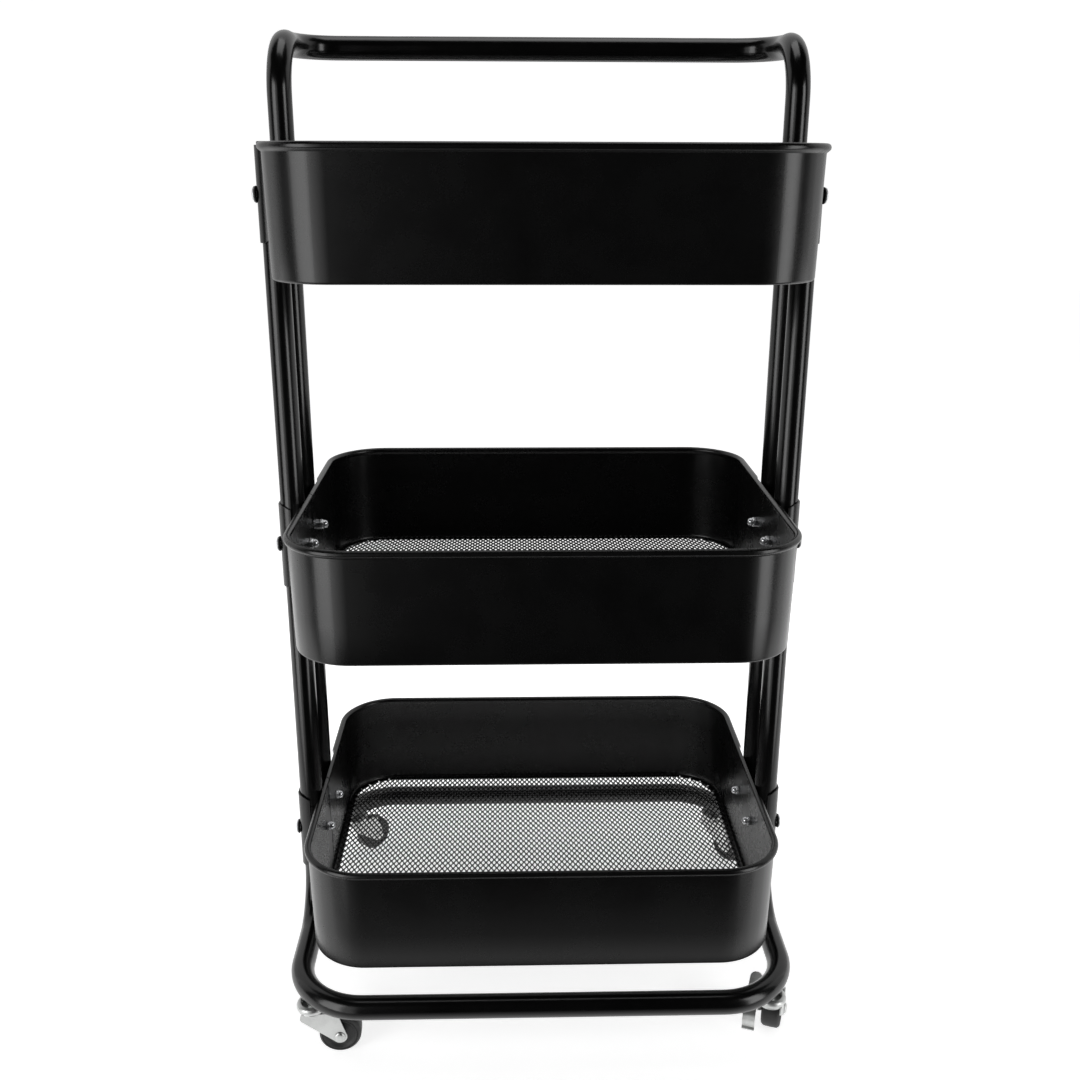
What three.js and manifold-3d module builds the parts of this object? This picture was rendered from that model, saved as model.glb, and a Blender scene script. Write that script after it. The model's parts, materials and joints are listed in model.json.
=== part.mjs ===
// Three-tier wire shelf cart: a bent-tube frame on four swivel casters, three sheet-metal baskets
// with mesh floors, and a push handle. Millimetres, +Z up, X across the cart, the front faces -Y,
// the handle bends back over +Y, and the wheels stand on z = 0.
import * as THREE from 'three';
import { mergeVertices } from 'three/addons/utils/BufferGeometryUtils.js';
import Module from 'manifold-3d';

const wasm = await Module();
wasm.setup();

// ---- driving dimensions -------------------------------------------------------------------
const GAP = 0.3; // clearance between pieces that touch

const TUBE_R = 10; // frame tube, outside radius
const TUBE_WALL = 1;
const TUBE_SIDES = 12;
const BEND_STEPS = 4;
const TUBE_X = 209.4; // upright centre line, each side
const TUBE_Y = 28; // front and rear upright of a pair

const BASE_Z = 58.7; // base loop centre line
const BASE_Y = 170.8; // half depth of the base loop
const BASE_CORNER_R = 58;
const BASE_DROP_R = 44; // bend from the upright into the base loop

const HANDLE_Z = 823.2; // handle bar centre line
const HANDLE_Y = 120;
const HANDLE_BACK_R = 44; // bend from the upright to the rear
const HANDLE_CORNER_R = 40;

const RIM_HEIGHTS = { lower: 182.4, middle: 457.6, upper: 743.4 };
const BASKET_X = 202; // half width over the rim bead
const BASKET_Y = 165.1; // half depth over the rim bead
const BASKET_H = 94;
const BASKET_CORNER_R = 53;
const BASKET_TAPER = 2; // how far the wall draws in from rim to floor
const SHEET = 0.9;
const BEAD_R = 2.9; // rolled rim
const BEAD_PROUD = 2.9; // how far the bead stands out from the wall
const FLANGE = 6.5; // floor flange, turned inward
const BEAD_FLAT_Y = 44; // the bead is pressed flat beside the uprights
const MESH_T = 1.2;

const BRACKET_TOP = 1.3; // below the rim
const BRACKET_H = 73;
const BRACKET_T = 1.5;

const BOLT_DROP = 37.8; // bolt line below the rim
const BOLT_R = 2.5;
const HEAD_R = 6.1;
const HEAD_T = 2.3;
const WASHER_R = 6.5;
const WASHER_T = 1.4;
const NUT_R = 4.6;
const NUT_L = 7.6;
const NUT_BORE = 5.6;
const NUT_BORE_R = 3.1;
const HOLE_SIDES = 10;
const HOLE_REACH = 14; // half length of the cutters for the bolt holes

const UPRIGHT_ABOVE_RIM = 1.4; // top of the front uprights above the upper rim
const JOINT_Z = 170; // top of the base tubes, hidden behind the lower brackets
const SPIGOT_R = 8.6;
const SPIGOT_L = 35; // swaged end of each upright, inside the base tube
const NECK_L = 3; // step between the tube and its swaged end

const WHEEL_R = 18;
const WHEEL_W = 16;
const TREAD_BEVEL = 2;
const HUB_R = 5.5;
const HUB_PROUD = 0.6; // hub faces beyond the tyre faces
const WEB_SINK = 2;
const WEB_R = 15; // edge of the sunk web
const CASTER_TRAIL = 23; // swivel axis to axle
const STEM_ANGLE = 38; // place of each stem round its corner bend, from the X axis
const STEM_R = 4;
const STEM_IN = 3; // reach of the stem past the tube's centre line
const KINGPIN_HEAD_R = 5;
const KINGPIN_HEAD_L = 2.4;
const KINGPIN_R = 3.2;
const CUP_R = 13.2;
const CUP_Z = 42.6;
const CUP_TOP = 48.4;
const CUP_WELL_R = 8.8; // well round the stem in the top of the cup
const CUP_WELL_L = 3;
const FORK_T = 1.3;
const FORK_IN = 9.2; // half the clear width inside the fork
const FORK_CROWN_Z = 40.8;
const CROWN_R = 12.2;
const FORK_BACK = -10; // edge of the cheeks on the side away from the wheel
const FORK_SHOULDER_Z = 37;
const BOSS_R = 6.2; // eye of the fork round the axle
const AXLE_R = 2.5;
const RIVET_R = 4.8;
const RIVET_T = 1.6;
const RIVET_BEVEL = 1.2;
const LEVER_T = 1.3;
const LEVER_W = 11;
const LEVER_TIP = 34; // rear end of the lever, from the swivel axis
// Top line of the lever strip from its hooked front lip to the rear: along the trail, height.
const LEVER_LINE = [
  [-13.5, 17.5],
  [-11.5, 19],
  [-12.5, 24],
  [-9.5, 30],
  [-3, 34],
  [8, 36.5],
  [24, 38.5],
  [LEVER_TIP, 42],
];

// Trailing direction of each caster, degrees from +X towards +Y, and which ones carry a brake.
const CASTERS = [
  { name: 'front_left', x: -1, y: -1, trail: 3, brake: false },
  { name: 'front_right', x: 1, y: -1, trail: 70, brake: true },
  { name: 'rear_left', x: -1, y: 1, trail: 44, brake: false },
  { name: 'rear_right', x: 1, y: 1, trail: -45, brake: true },
];

const FINISH = {
  tube: { color: 0x151515, roughness: 0.38, metalness: 0.3 },
  basket: { color: 0x121212, roughness: 0.42, metalness: 0.3 },
  mesh: { color: 0x0f0f0f, roughness: 0.5, metalness: 0.3 },
  bracket: { color: 0x141414, roughness: 0.4, metalness: 0.3 },
  screw: { color: 0xb9bcc0, roughness: 0.25, metalness: 1 },
  nut: { color: 0xd6d8dc, roughness: 0.12, metalness: 1 },
  zinc: { color: 0xc4c7c6, roughness: 0.35, metalness: 0.9 },
  wheel: { color: 0x1a1a1a, roughness: 0.6, metalness: 0 },
};

const cart = new THREE.Group();

// ---- helpers ------------------------------------------------------------------------------
const rad = THREE.MathUtils.degToRad;

function addMesh(name, geometry, finish, parent = cart) {
  const mesh = new THREE.Mesh(geometry, new THREE.MeshStandardMaterial(FINISH[finish]));
  mesh.name = name;
  parent.add(mesh);
  return mesh;
}

function toSolid(geometry) {
  const bare = geometry.clone();
  bare.deleteAttribute('normal');
  bare.deleteAttribute('uv');
  const merged = mergeVertices(bare, 1e-4);
  const vertProperties = new Float32Array(merged.attributes.position.array);
  const triVerts = new Uint32Array(merged.index.array);
  return new wasm.Manifold(new wasm.Mesh({ numProp: 3, vertProperties, triVerts }));
}

function toGeometry(solid) {
  const mesh = solid.getMesh();
  const geometry = new THREE.BufferGeometry();
  geometry.setAttribute('position', new THREE.BufferAttribute(mesh.vertProperties.slice(), 3));
  geometry.setIndex(new THREE.BufferAttribute(mesh.triVerts.slice(), 1));
  geometry.computeVertexNormals();
  return geometry;
}

function cutAll(geometry, tools) {
  let solid = toSolid(geometry);
  for (const tool of tools) {
    solid = solid.subtract(toSolid(tool));
  }
  return toGeometry(solid);
}

function joinAll(geometries) {
  let solid = toSolid(geometries[0]);
  for (const geometry of geometries.slice(1)) {
    solid = solid.add(toSolid(geometry));
  }
  return toGeometry(solid);
}

// A round bar along X, Y or Z between two coordinates on that axis.
function barAlong(axis, radius, from, to, sides = 12) {
  const bar = new THREE.CylinderGeometry(radius, radius, to - from, sides);
  if (axis === 'x') {
    bar.rotateZ(-Math.PI / 2);
    bar.translate((from + to) / 2, 0, 0);
  } else if (axis === 'z') {
    bar.rotateX(Math.PI / 2);
    bar.translate(0, 0, (from + to) / 2);
  } else {
    bar.translate(0, (from + to) / 2, 0);
  }
  return bar;
}

// The centre line of a bent tube: straight runs between corner points, each corner rounded to an
// arc. Stations fall only at the ends of the straight runs and along the arcs.
class BentTubePath extends THREE.Curve {
  constructor(corners, radii, stepsPerBend) {
    super();
    this.stations = [];
    this.tangents = [];
    const last = corners.length - 1;
    const leg = (i) => corners[i + 1].clone().sub(corners[i]).normalize();
    this.push(corners[0], leg(0));
    for (let i = 1; i < last; i += 1) {
      const into = leg(i - 1);
      const out = leg(i);
      const turn = into.angleTo(out);
      const reach = radii[i - 1] * Math.tan(turn / 2);
      const start = corners[i].clone().addScaledVector(into, -reach);
      const inward = out.clone().addScaledVector(into, -out.dot(into)).normalize();
      for (let k = 0; k <= stepsPerBend; k += 1) {
        const angle = (turn * k) / stepsPerBend;
        const point = start.clone();
        point.addScaledVector(into, radii[i - 1] * Math.sin(angle));
        point.addScaledVector(inward, radii[i - 1] * (1 - Math.cos(angle)));
        const tangent = into.clone().multiplyScalar(Math.cos(angle));
        tangent.addScaledVector(inward, Math.sin(angle));
        this.push(point, tangent);
      }
    }
    this.push(corners[last], leg(last - 1));
  }

  push(point, tangent) {
    const previous = this.stations[this.stations.length - 1];
    if (previous && previous.distanceTo(point) < 0.5) {
      return;
    }
    this.stations.push(point.clone());
    this.tangents.push(tangent.clone().normalize());
  }

  get steps() {
    return this.stations.length - 1;
  }

  getUtoTmapping(u) {
    return u;
  }

  getPoint(t, target = new THREE.Vector3()) {
    return target.copy(this.stations[Math.round(t * this.steps)]);
  }

  getTangent(t, target = new THREE.Vector3()) {
    return target.copy(this.tangents[Math.round(t * this.steps)]);
  }
}

function ringShape(outer, inner, sides) {
  const circle = (radius) => {
    const points = [];
    for (let i = 0; i < sides; i += 1) {
      const angle = (2 * Math.PI * i) / sides;
      points.push(new THREE.Vector2(radius * Math.cos(angle), radius * Math.sin(angle)));
    }
    return points;
  };
  const shape = new THREE.Shape(circle(outer));
  shape.holes.push(new THREE.Path(circle(inner)));
  return shape;
}

function bentTube(corners, radii) {
  const path = new BentTubePath(corners, radii, BEND_STEPS);
  const section = ringShape(TUBE_R, TUBE_R - TUBE_WALL, TUBE_SIDES);
  return new THREE.ExtrudeGeometry(section, { extrudePath: path, steps: path.steps });
}

const point = (x, y, z) => new THREE.Vector3(x, y, z);

function straightTube(x, y, z0, z1, outer = TUBE_R, inner = TUBE_R - TUBE_WALL) {
  const tube = new THREE.ExtrudeGeometry(ringShape(outer, inner, TUBE_SIDES), {
    depth: z1 - z0,
    bevelEnabled: false,
  });
  tube.translate(x, y, z0);
  return tube;
}

// Clearance holes along X through the tubes of one side, at each listed height.
function boltHoles(x, y, heights) {
  return heights.map((z) => {
    const hole = barAlong('x', BOLT_R + GAP, -HOLE_REACH, HOLE_REACH, 8);
    hole.translate(x, y, z);
    return hole;
  });
}

const boltHeights = Object.values(RIM_HEIGHTS).map((rim) => rim - BOLT_DROP);
const lowerBolt = RIM_HEIGHTS.lower - BOLT_DROP;

// ---- frame tubes --------------------------------------------------------------------------
// The reduced lower end of an upright, which slides into the base tube.
function spigot(x, y) {
  const top = JOINT_Z + GAP;
  const neck = straightTube(x, y, top, top + NECK_L, TUBE_R - 0.5 * TUBE_WALL, SPIGOT_R - TUBE_WALL);
  const sleeve = straightTube(x, y, JOINT_Z - SPIGOT_L, top + NECK_L - 1, SPIGOT_R, SPIGOT_R - TUBE_WALL);
  return [neck, sleeve];
}

function handleTube() {
  const start = JOINT_Z + GAP;
  const corners = [
    point(-TUBE_X, TUBE_Y, start),
    point(-TUBE_X, TUBE_Y, HANDLE_Z),
    point(-TUBE_X, HANDLE_Y, HANDLE_Z),
    point(TUBE_X, HANDLE_Y, HANDLE_Z),
    point(TUBE_X, TUBE_Y, HANDLE_Z),
    point(TUBE_X, TUBE_Y, start),
  ];
  const radii = [HANDLE_BACK_R, HANDLE_CORNER_R, HANDLE_CORNER_R, HANDLE_BACK_R];
  const pieces = [bentTube(corners, radii), ...spigot(-TUBE_X, TUBE_Y), ...spigot(TUBE_X, TUBE_Y)];
  const holes = [-TUBE_X, TUBE_X].flatMap((x) => boltHoles(x, TUBE_Y, boltHeights));
  return cutAll(joinAll(pieces), holes);
}

function frontUpright(x) {
  const top = RIM_HEIGHTS.upper + UPRIGHT_ABOVE_RIM;
  const tube = straightTube(x, -TUBE_Y, JOINT_Z + GAP, top);
  const holes = boltHoles(x, -TUBE_Y, boltHeights);
  return cutAll(joinAll([tube, ...spigot(x, -TUBE_Y)]), holes);
}

// Caster stem positions lie on the corner bends of the base loop.
const stemX = TUBE_X - BASE_CORNER_R * (1 - Math.cos(rad(STEM_ANGLE)));
const stemY = BASE_Y - BASE_CORNER_R * (1 - Math.sin(rad(STEM_ANGLE)));

function baseTube(sideY) {
  const corners = [
    point(-TUBE_X, sideY * TUBE_Y, JOINT_Z),
    point(-TUBE_X, sideY * TUBE_Y, BASE_Z),
    point(-TUBE_X, sideY * BASE_Y, BASE_Z),
    point(TUBE_X, sideY * BASE_Y, BASE_Z),
    point(TUBE_X, sideY * TUBE_Y, BASE_Z),
    point(TUBE_X, sideY * TUBE_Y, JOINT_Z),
  ];
  const tube = bentTube(corners, [BASE_DROP_R, BASE_CORNER_R, BASE_CORNER_R, BASE_DROP_R]);
  const tools = [];
  for (const x of [-1, 1]) {
    tools.push(...boltHoles(x * TUBE_X, sideY * TUBE_Y, [lowerBolt]));
    const stemHole = barAlong('z', STEM_R + GAP, BASE_Z - TUBE_R - 2, BASE_Z, HOLE_SIDES);
    stemHole.translate(x * stemX, sideY * stemY, 0);
    tools.push(stemHole);
  }
  return cutAll(tube, tools);
}

addMesh('handle_tube', handleTube(), 'tube');
addMesh('front_left_upright', frontUpright(-TUBE_X), 'tube');
addMesh('front_right_upright', frontUpright(TUBE_X), 'tube');
addMesh('front_base_tube', baseTube(-1), 'tube');
addMesh('rear_base_tube', baseTube(1), 'tube');

// ---- baskets ------------------------------------------------------------------------------
const wallX = BASKET_X - BEAD_PROUD; // outer face of the wall at the rim
const wallY = BASKET_Y - BEAD_PROUD;
const wallR = BASKET_CORNER_R - BEAD_PROUD;

// Stations round the basket: a point on the outer wall line, its outward normal, and whether the
// rim bead is pressed flat there.
function wallStations() {
  const stations = [];
  const add = (x, y, nx, ny, flat) => stations.push({ x, y, nx, ny, flat });
  const cornerSteps = 4;
  const quadrants = [
    [1, 1, 0],
    [-1, 1, 90],
    [-1, -1, 180],
    [1, -1, 270],
  ];
  for (const [sx, sy, from] of quadrants) {
    for (let k = 0; k <= cornerSteps; k += 1) {
      const angle = rad(from + (90 * k) / cornerSteps);
      const nx = Math.cos(angle);
      const ny = Math.sin(angle);
      add(sx * (wallX - wallR) + wallR * nx, sy * (wallY - wallR) + wallR * ny, nx, ny, false);
    }
    const nextIsSide = from === 90 || from === 270;
    if (nextIsSide) {
      const side = from === 90 ? -1 : 1;
      const span = [BEAD_FLAT_Y + 6, BEAD_FLAT_Y, -BEAD_FLAT_Y, -BEAD_FLAT_Y - 6];
      for (const y of span) {
        add(side * wallX, side < 0 ? y : -y, side, 0, Math.abs(y) <= BEAD_FLAT_Y);
      }
    }
  }
  return stations;
}

// One turn of the wall section: [offset outward from the wall line, height below the rim].
function wallSection(flat) {
  const section = [
    [-BASKET_TAPER - 2, -BASKET_H],
    [-BASKET_TAPER, -BASKET_H + 2],
    [-0.1, -2 * BEAD_R],
  ];
  for (const degrees of [-30, 30, 90, 150, 210]) {
    const across = BEAD_R * Math.cos(rad(degrees)) + BEAD_PROUD - BEAD_R;
    const up = BEAD_R * Math.sin(rad(degrees)) - BEAD_R;
    section.push([flat ? Math.min(across, 0) : across, up]);
  }
  section.push([-SHEET - 0.1, -2 * BEAD_R]);
  section.push([-BASKET_TAPER - SHEET, -BASKET_H + SHEET + 1]);
  section.push([-BASKET_TAPER - SHEET - 1, -BASKET_H + SHEET]);
  section.push([-BASKET_TAPER - FLANGE, -BASKET_H + SHEET]);
  section.push([-BASKET_TAPER - FLANGE, -BASKET_H]);
  return section;
}

function basketShell(rim) {
  const stations = wallStations();
  const sections = { true: wallSection(true), false: wallSection(false) };
  const count = sections.true.length;
  const positions = [];
  for (const s of stations) {
    for (const [offset, drop] of sections[s.flat]) {
      positions.push(s.x + s.nx * offset, s.y + s.ny * offset, rim + drop);
    }
  }
  const index = [];
  for (let i = 0; i < stations.length; i += 1) {
    const next = (i + 1) % stations.length;
    for (let j = 0; j < count; j += 1) {
      const a = i * count + j;
      const b = next * count + j;
      const c = next * count + ((j + 1) % count);
      const d = i * count + ((j + 1) % count);
      index.push(a, b, c, a, c, d);
    }
  }
  const geometry = new THREE.BufferGeometry();
  geometry.setAttribute('position', new THREE.Float32BufferAttribute(positions, 3));
  geometry.setIndex(index);
  const holes = [];
  for (const x of [-wallX, wallX]) {
    for (const y of [-TUBE_Y, TUBE_Y]) {
      holes.push(...boltHoles(x, y, [rim - BOLT_DROP]));
    }
  }
  return cutAll(geometry, holes);
}

function roundedRectangle(halfX, halfY, radius) {
  const shape = new THREE.Shape();
  shape.moveTo(halfX, -halfY + radius);
  shape.absarc(halfX - radius, halfY - radius, radius, 0, Math.PI / 2);
  shape.absarc(-halfX + radius, halfY - radius, radius, Math.PI / 2, Math.PI);
  shape.absarc(-halfX + radius, -halfY + radius, radius, Math.PI, 1.5 * Math.PI);
  shape.absarc(halfX - radius, -halfY + radius, radius, 1.5 * Math.PI, 2 * Math.PI);
  return shape;
}

function meshFloor(rim) {
  const inset = BASKET_TAPER + SHEET + 1.8;
  const outline = roundedRectangle(wallX - inset, wallY - inset, wallR - inset);
  const floor = new THREE.ExtrudeGeometry(outline, {
    depth: MESH_T,
    bevelEnabled: false,
    curveSegments: 4,
  });
  floor.translate(0, 0, rim - BASKET_H + SHEET + GAP);
  return floor;
}

for (const [tier, rim] of Object.entries(RIM_HEIGHTS)) {
  addMesh(`${tier}_basket_shell`, basketShell(rim), 'basket');
  addMesh(`${tier}_mesh_floor`, meshFloor(rim), 'mesh');
}

// ---- brackets, bolts and cap nuts ---------------------------------------------------------
// The clamp plate round a pair of uprights: flat outside, wrapped to the front and rear of the
// tubes. Drawn for the right-hand side.
function bracketPlate(sideX, rim) {
  const inner = TUBE_R + GAP;
  const outer = inner + BRACKET_T;
  const shape = new THREE.Shape();
  shape.moveTo(TUBE_X, -TUBE_Y - outer);
  shape.absarc(TUBE_X, -TUBE_Y, outer, -Math.PI / 2, 0);
  shape.absarc(TUBE_X, TUBE_Y, outer, 0, Math.PI / 2);
  shape.lineTo(TUBE_X, TUBE_Y + inner);
  shape.absarc(TUBE_X, TUBE_Y, inner, Math.PI / 2, 0, true);
  shape.absarc(TUBE_X, -TUBE_Y, inner, 0, -Math.PI / 2, true);
  const plate = new THREE.ExtrudeGeometry(shape, {
    depth: BRACKET_H,
    bevelEnabled: false,
    curveSegments: 4,
  });
  plate.translate(0, 0, rim - BRACKET_TOP - BRACKET_H);
  const holes = [-TUBE_Y, TUBE_Y].flatMap((y) => boltHoles(TUBE_X, y, [rim - BOLT_DROP]));
  const solid = cutAll(plate, holes);
  if (sideX < 0) {
    solid.rotateZ(Math.PI);
  }
  return solid;
}

function lathe(profile, sides) {
  const points = profile.map(([radius, height]) => new THREE.Vector2(radius, height));
  return new THREE.LatheGeometry(points, sides);
}

// Distances from the cart's middle plane along a bolt.
const wallAtBolt = wallX - SHEET - (BASKET_TAPER * BOLT_DROP) / BASKET_H;
const nutSeat = wallAtBolt - GAP - 0.2;
const boltTip = nutSeat - NUT_BORE + 0.4;
const washerSeat = TUBE_X + TUBE_R + BRACKET_T + 2 * GAP;

// Truss-head machine bolt with its washer under the head.
function bolt() {
  const shank = washerSeat - boltTip;
  const headFrom = shank + WASHER_T;
  const profile = [
    [0, 0],
    [BOLT_R, 0],
    [BOLT_R, shank],
    [WASHER_R, shank],
    [WASHER_R, headFrom],
    [HEAD_R, headFrom],
    [HEAD_R * 0.6, headFrom + HEAD_T * 0.8],
    [0, headFrom + HEAD_T],
  ];
  return lathe(profile, 8).rotateZ(-Math.PI / 2).translate(boltTip, 0, 0);
}

// Domed cap nut with a blind bore, mouth towards the wall.
function capNut() {
  const profile = [
    [0, 0],
    [NUT_R * 0.6, 0.8],
    [NUT_R * 0.84, NUT_L * 0.4],
    [NUT_R, NUT_L * 0.5],
    [NUT_R, NUT_L],
    [NUT_BORE_R, NUT_L],
    [NUT_BORE_R, NUT_L - NUT_BORE],
    [0, NUT_L - NUT_BORE],
  ];
  return lathe(profile, 6).rotateZ(-Math.PI / 2).translate(nutSeat - NUT_L, 0, 0);
}

for (const [tier, rim] of Object.entries(RIM_HEIGHTS)) {
  for (const [side, sx] of [['left', -1], ['right', 1]]) {
    addMesh(`${tier}_${side}_bracket`, bracketPlate(sx, rim), 'bracket');
    for (const [place, sy] of [['front', -1], ['rear', 1]]) {
      const spot = new THREE.Group();
      spot.position.set(0, sy * TUBE_Y, rim - BOLT_DROP);
      spot.rotation.z = sx < 0 ? Math.PI : 0;
      addMesh(`${tier}_${side}_${place}_bolt`, bolt(), 'screw', spot);
      addMesh(`${tier}_${side}_${place}_cap_nut`, capNut(), 'nut', spot);
      cart.add(spot);
    }
  }
}

// ---- casters ------------------------------------------------------------------------------
// Each caster is drawn in its own frame: swivel axis on Z, trailing along +X.

// Threaded stem with the upper race cup, fixed in the base tube.
function stemAndCup() {
  return lathe([
    [0, FORK_CROWN_Z - KINGPIN_HEAD_L],
    [KINGPIN_HEAD_R, FORK_CROWN_Z - KINGPIN_HEAD_L],
    [KINGPIN_HEAD_R, FORK_CROWN_Z - GAP],
    [KINGPIN_R, FORK_CROWN_Z - GAP],
    [KINGPIN_R, CUP_Z],
    [CUP_R, CUP_Z],
    [CUP_R, CUP_TOP],
    [CUP_WELL_R + 0.8, CUP_TOP],
    [CUP_WELL_R, CUP_TOP - CUP_WELL_L],
    [STEM_R, CUP_TOP - CUP_WELL_L],
    [STEM_R, BASE_Z + STEM_IN],
    [0, BASE_Z + STEM_IN],
  ], 12).rotateX(Math.PI / 2);
}

// Pressed fork: round crown under the cup and two tapered cheeks down to the axle.
function fork() {
  const crownTop = CUP_Z - GAP;
  const bore = KINGPIN_R + GAP;
  const crown = lathe([
    [bore, FORK_CROWN_Z],
    [CROWN_R, FORK_CROWN_Z],
    [CROWN_R, crownTop],
    [bore, crownTop],
    [bore, FORK_CROWN_Z],
  ], 12).rotateX(Math.PI / 2);
  const cheek = new THREE.Shape();
  cheek.moveTo(FORK_BACK + 2, crownTop);
  cheek.lineTo(FORK_BACK, FORK_SHOULDER_Z);
  cheek.lineTo(CASTER_TRAIL - 4.4, WHEEL_R - 4.5);
  cheek.absarc(CASTER_TRAIL, WHEEL_R, BOSS_R, rad(-120), rad(5));
  cheek.lineTo(CASTER_TRAIL - 0.5, 39.5);
  cheek.lineTo(CASTER_TRAIL - 3, crownTop);
  const pieces = [crown];
  for (const y of [FORK_IN + FORK_T, -FORK_IN]) {
    const plate = new THREE.ExtrudeGeometry(cheek, {
      depth: FORK_T,
      bevelEnabled: false,
      curveSegments: 4,
    });
    pieces.push(plate.rotateX(Math.PI / 2).translate(0, y, 0));
  }
  const hole = barAlong('y', AXLE_R + GAP, -HOLE_REACH, HOLE_REACH, HOLE_SIDES);
  hole.translate(CASTER_TRAIL, 0, WHEEL_R);
  return cutAll(joinAll(pieces), [hole]);
}

function wheel() {
  const half = WHEEL_W / 2;
  return lathe([
    [AXLE_R + GAP, -half - HUB_PROUD],
    [HUB_R, -half - HUB_PROUD],
    [HUB_R, -half + WEB_SINK],
    [WEB_R, -half],
    [WHEEL_R - TREAD_BEVEL, -half],
    [WHEEL_R, -half + TREAD_BEVEL],
    [WHEEL_R, half - TREAD_BEVEL],
    [WHEEL_R - TREAD_BEVEL, half],
    [WEB_R, half],
    [HUB_R, half - WEB_SINK],
    [HUB_R, half + HUB_PROUD],
    [AXLE_R + GAP, half + HUB_PROUD],
    [AXLE_R + GAP, -half - HUB_PROUD],
  ], 20);
}

// Riveted axle; on a braked caster it is longer on the +Y side and carries the brake lever too.
function axle(braked) {
  const near = -FORK_IN - FORK_T - GAP;
  const far = FORK_IN + FORK_T + GAP + (braked ? LEVER_T + 2 * GAP : 0);
  return lathe([
    [0, near - RIVET_T],
    [RIVET_R - RIVET_BEVEL, near - RIVET_T],
    [RIVET_R, near],
    [AXLE_R, near],
    [AXLE_R, far],
    [RIVET_R, far],
    [RIVET_R - RIVET_BEVEL, far + RIVET_T],
    [0, far + RIVET_T],
  ], 10);
}

// Rocking brake lever beside the fork: an upright cheek round the axle end, with a foot strip
// turned outward along its top, hooked down at the front and raised at the rear.
function brakeLever() {
  const inner = FORK_IN + FORK_T + 2 * GAP;
  const cheek = new THREE.Shape();
  cheek.moveTo(-4, 33);
  cheek.lineTo(CASTER_TRAIL - 5, WHEEL_R - 3.8);
  cheek.absarc(CASTER_TRAIL, WHEEL_R, BOSS_R, rad(-130), rad(20));
  cheek.lineTo(CASTER_TRAIL + 6, 38);
  cheek.lineTo(6, 35.5);
  const plate = new THREE.ExtrudeGeometry(cheek, {
    depth: LEVER_T,
    bevelEnabled: false,
    curveSegments: 4,
  });
  plate.rotateX(Math.PI / 2).translate(0, inner + LEVER_T, 0);
  const strip = new THREE.Shape(LEVER_LINE.map(([x, z]) => new THREE.Vector2(x, z)));
  for (const [x, z] of [...LEVER_LINE].reverse()) {
    strip.lineTo(x + 0.3, z - LEVER_T);
  }
  const foot = new THREE.ExtrudeGeometry(strip, { depth: LEVER_W, bevelEnabled: false });
  foot.rotateX(Math.PI / 2).translate(0, inner + LEVER_W, 0);
  const plan = new THREE.Shape();
  const tipR = LEVER_W / 2;
  plan.moveTo(-30, inner - 1);
  plan.lineTo(LEVER_TIP - tipR, inner - 1);
  plan.lineTo(LEVER_TIP - tipR, inner);
  plan.absarc(LEVER_TIP - tipR, inner + tipR, tipR, -Math.PI / 2, Math.PI / 2);
  plan.lineTo(-30, inner + LEVER_W);
  const trim = new THREE.ExtrudeGeometry(plan, { depth: 60, bevelEnabled: false, curveSegments: 4 });
  const roundedFoot = toGeometry(toSolid(foot).intersect(toSolid(trim)));
  const hole = barAlong('y', AXLE_R + GAP, 0, 2 * HOLE_REACH, HOLE_SIDES);
  hole.translate(CASTER_TRAIL, 0, WHEEL_R);
  return cutAll(joinAll([plate, roundedFoot]), [hole]);
}

for (const { name, x, y, trail, brake } of CASTERS) {
  const caster = new THREE.Group();
  caster.position.set(x * stemX, y * stemY, 0);
  caster.rotation.z = rad(trail);
  addMesh(`${name}_caster_stem`, stemAndCup(), 'zinc', caster);
  addMesh(`${name}_caster_fork`, fork(), 'zinc', caster);
  const hub = new THREE.Group();
  hub.position.set(CASTER_TRAIL, 0, WHEEL_R);
  addMesh(`${name}_caster_axle`, axle(brake), 'zinc', hub);
  addMesh(`${name}_caster_wheel`, wheel(), 'wheel', hub);
  caster.add(hub);
  if (brake) {
    addMesh(`${name}_brake_lever`, brakeLever(), 'zinc', caster);
  }
  cart.add(caster);
}

export default cart;
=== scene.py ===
# The looks of the three-tier wire shelf cart: painted tube frame, sheet baskets with expanded-metal
# floors, plated hardware and casters. Every place comes from the boxes and joints of the frame. Shapes
# are worked out in millimetres and stored in metres.
import json
import math
import bpy
from mathutils import Matrix, Vector


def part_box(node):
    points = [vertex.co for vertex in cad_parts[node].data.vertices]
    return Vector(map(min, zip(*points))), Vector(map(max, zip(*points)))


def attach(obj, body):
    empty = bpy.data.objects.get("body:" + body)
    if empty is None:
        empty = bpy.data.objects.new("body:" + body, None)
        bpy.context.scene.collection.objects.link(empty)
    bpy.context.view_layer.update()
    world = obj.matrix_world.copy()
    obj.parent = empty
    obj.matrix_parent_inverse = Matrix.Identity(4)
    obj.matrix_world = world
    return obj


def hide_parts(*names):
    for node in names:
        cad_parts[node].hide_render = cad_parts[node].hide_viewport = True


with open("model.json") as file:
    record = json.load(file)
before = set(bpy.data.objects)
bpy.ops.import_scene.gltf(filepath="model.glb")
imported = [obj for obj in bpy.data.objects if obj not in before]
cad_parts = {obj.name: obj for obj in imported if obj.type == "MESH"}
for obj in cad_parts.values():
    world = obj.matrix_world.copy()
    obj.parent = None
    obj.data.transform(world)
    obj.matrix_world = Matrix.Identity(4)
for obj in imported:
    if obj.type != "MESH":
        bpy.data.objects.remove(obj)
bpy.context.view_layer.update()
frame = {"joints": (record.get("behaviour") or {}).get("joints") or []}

MM = 0.001

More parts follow.
